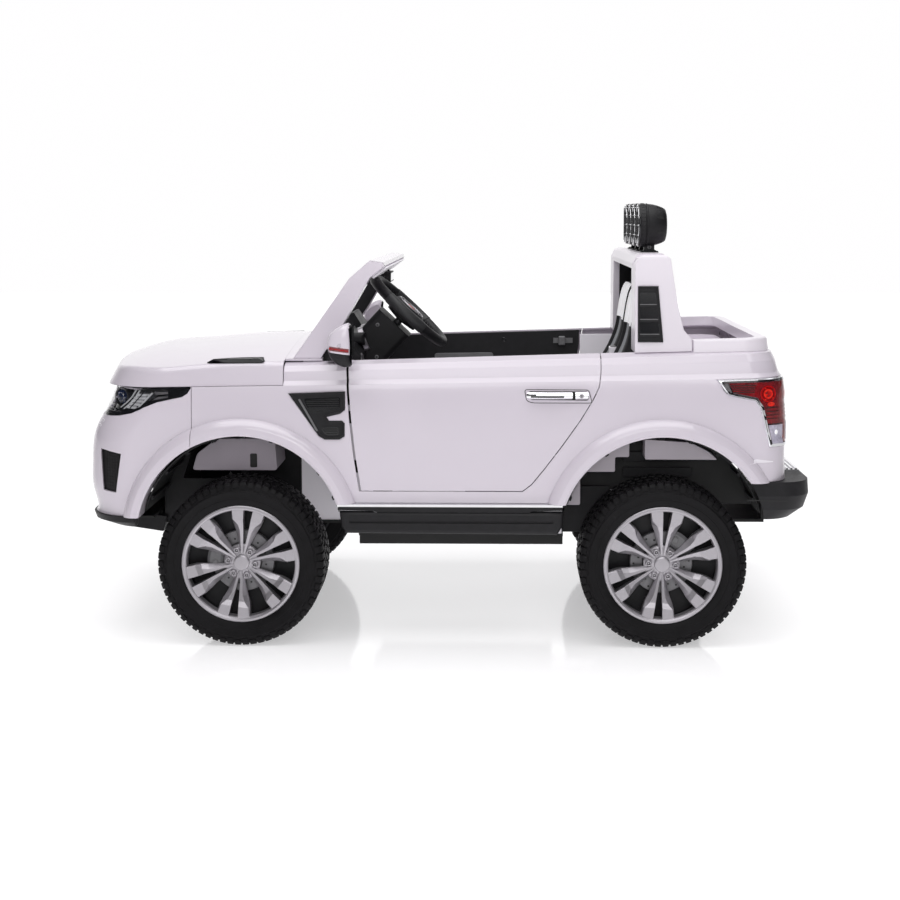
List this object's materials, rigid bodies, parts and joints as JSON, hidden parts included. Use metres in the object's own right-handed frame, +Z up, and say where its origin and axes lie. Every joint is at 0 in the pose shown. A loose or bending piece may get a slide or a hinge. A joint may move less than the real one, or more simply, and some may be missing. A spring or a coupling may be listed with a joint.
{
  "type": "electric ride-on car",
  "caption": "Battery-driven children's two-seat pickup with opening doors, steered front wheels, open screen frame, roll hoop with lamps and a small load bed.",
  "frame": {"origin": "on the ground under the middle of the car's bounding box", "axes": "+X towards the nose, +Y to the car's left, +Z up"},
  "size_m": [1.4447, 0.816, 0.869],
  "materials": {
    "white_shell": "glossy moulded shell",
    "black_plastic": "fine grained",
    "grey_plastic": "satin",
    "red_plastic": "glossy",
    "silver_plastic": "silver paint",
    "chrome": "bright plated",
    "steel": "plain",
    "tyre": "foam rubber",
    "clear_lens": "clear",
    "red_lens": "clear red",
    "seat_leather": "stitched"
  },
  "bodies": {
    "chassis": {"front_bulkhead": "white_shell", "front_bumper": "white_shell", "hood": "white_shell", "body_side_left": "white_shell", "body_side_right": "white_shell", "tail_panel": "white_shell", "windscreen_frame": "white_shell", "roll_bar": "white_shell", "bed_tub": "white_shell", "cabin_tub": "white_shell", "mirrors": "white_shell", "floor_pan": "black_plastic", "front_lip": "black_plastic", "grilles_and_vents": "black_plastic", "headlight_housings": "black_plastic", "dashboard": "black_plastic", "column_shroud": "black_plastic", "roll_bar_panel": "black_plastic", "rear_bumper": "black_plastic", "side_steps": "black_plastic", "seat_bench": "black_plastic", "spotlight_housings": "black_plastic", "drive_units": "black_plastic", "front_axle_beam": "steel", "rear_axle": "steel", "battery_and_controller": "grey_plastic", "lamp_lenses": "clear_lens", "tail_light_lenses": "red_lens", "spotlight_guards": "chrome", "bright_trim": "chrome", "seat_pads": "seat_leather"},
    "steering_column": {"steering_wheel": "black_plastic", "steering_shaft": "steel"},
    "horn": {"horn_button": "grey_plastic"},
    "upright_left": {"knuckle_left": "steel"},
    "upright_right": {"knuckle_right": "steel"},
    "track_rod": {"tie_rod": "steel"},
    "road_wheel_front_left": {"tyre_front_left": "tyre", "wheel_front_left": "black_plastic", "wheel_cover_front_left": "silver_plastic"},
    "road_wheel_front_right": {"tyre_front_right": "tyre", "wheel_front_right": "black_plastic", "wheel_cover_front_right": "silver_plastic"},
    "road_wheel_rear_left": {"tyre_rear_left": "tyre", "wheel_rear_left": "black_plastic", "wheel_cover_rear_left": "silver_plastic"},
    "road_wheel_rear_right": {"tyre_rear_right": "tyre", "wheel_rear_right": "black_plastic", "wheel_cover_rear_right": "silver_plastic"},
    "left_door": {"door_left": "white_shell", "door_trim_left": "black_plastic", "door_handle_left": "chrome"},
    "right_door": {"door_right": "white_shell", "door_trim_right": "black_plastic", "door_handle_right": "chrome"},
    "left_latch": {"door_latch_left": "black_plastic"},
    "right_latch": {"door_latch_right": "black_plastic"},
    "pedal": {"accelerator_pedal": "black_plastic"},
    "gear_selector": {"gear_lever": "black_plastic"},
    "start_switch": {"start_button": "red_plastic"}
  },
  "joints": [
    {"name": "steering_turn", "type": "hinge", "parent": "chassis", "child": "steering_column", "pos_m": [0.081, 0.128, 0.648], "axis": [-0.6833, 0, 0.7302], "range_deg": [-40, 40]},
    {"name": "upright_left_turn", "type": "hinge", "parent": "chassis", "child": "upright_left", "pos_m": [0.3985, 0.228, 0.17], "axis": [0, 0, 1], "range_deg": [-22.6, 22.6]},
    {"name": "upright_right_turn", "type": "hinge", "parent": "chassis", "child": "upright_right", "pos_m": [0.3985, -0.228, 0.17], "axis": [0, 0, 1], "range_deg": [-22.6, 22.6]},
    {"name": "track_rod_shift", "type": "slide", "parent": "chassis", "child": "track_rod", "axis": [0, 1, 0], "range_m": [-0.022, 0.022]},
    {"name": "wheel_front_left_spin", "type": "hinge", "parent": "upright_left", "child": "road_wheel_front_left", "pos_m": [0.3985, 0.31, 0.164], "axis": [0, 1, 0], "continuous": true},
    {"name": "wheel_front_right_spin", "type": "hinge", "parent": "upright_right", "child": "road_wheel_front_right", "pos_m": [0.3985, -0.31, 0.164], "axis": [0, 1, 0], "continuous": true},
    {"name": "wheel_rear_left_spin", "type": "hinge", "parent": "chassis", "child": "road_wheel_rear_left", "pos_m": [-0.4285, 0.31, 0.164], "axis": [0, 1, 0], "continuous": true},
    {"name": "wheel_rear_right_spin", "type": "hinge", "parent": "chassis", "child": "road_wheel_rear_right", "pos_m": [-0.4285, -0.31, 0.164], "axis": [0, 1, 0], "continuous": true},
    {"name": "left_door_swing", "type": "hinge", "parent": "chassis", "child": "left_door", "pos_m": [0.19, 0.3425, 0.41], "axis": [0, 0, -1], "range_deg": [0, 45]},
    {"name": "left_latch_slide", "type": "slide", "parent": "left_door", "child": "left_latch", "axis": [-1, 0, 0], "range_m": [0, 0.015]},
    {"name": "right_door_swing", "type": "hinge", "parent": "chassis", "child": "right_door", "pos_m": [0.19, -0.3425, 0.41], "axis": [0, 0, 1], "range_deg": [0, 45]},
    {"name": "right_latch_slide", "type": "slide", "parent": "right_door", "child": "right_latch", "axis": [-1, 0, 0], "range_m": [0, 0.015]},
    {"name": "pedal_press", "type": "hinge", "parent": "chassis", "child": "pedal", "pos_m": [0.2485, 0.088, 0.226], "axis": [0, 1, 0], "range_deg": [0, 15], "stiffness_Nm_per_rad": 2},
    {"name": "gear_rock", "type": "hinge", "parent": "chassis", "child": "gear_selector", "pos_m": [0.1525, 0, 0.41], "axis": [0, 1, 0], "range_deg": [-14, 14]},
    {"name": "start_press", "type": "slide", "parent": "chassis", "child": "start_switch", "axis": [0.9929, 0, -0.1191], "range_m": [0, 0.003], "stiffness_N_per_m": 400},
    {"name": "horn_press", "type": "slide", "parent": "steering_column", "child": "horn", "axis": [0.6833, 0, -0.7302], "range_m": [0, 0.003], "stiffness_N_per_m": 600}
  ],
  "couplings": [
    {"joint": "upright_left_turn", "follows": "steering_turn", "ratio": 0.5625},
    {"joint": "upright_right_turn", "follows": "steering_turn", "ratio": 0.5625},
    {"joint": "track_rod_shift", "follows": "steering_turn", "m_per_rad": 0.0313}
  ]
}
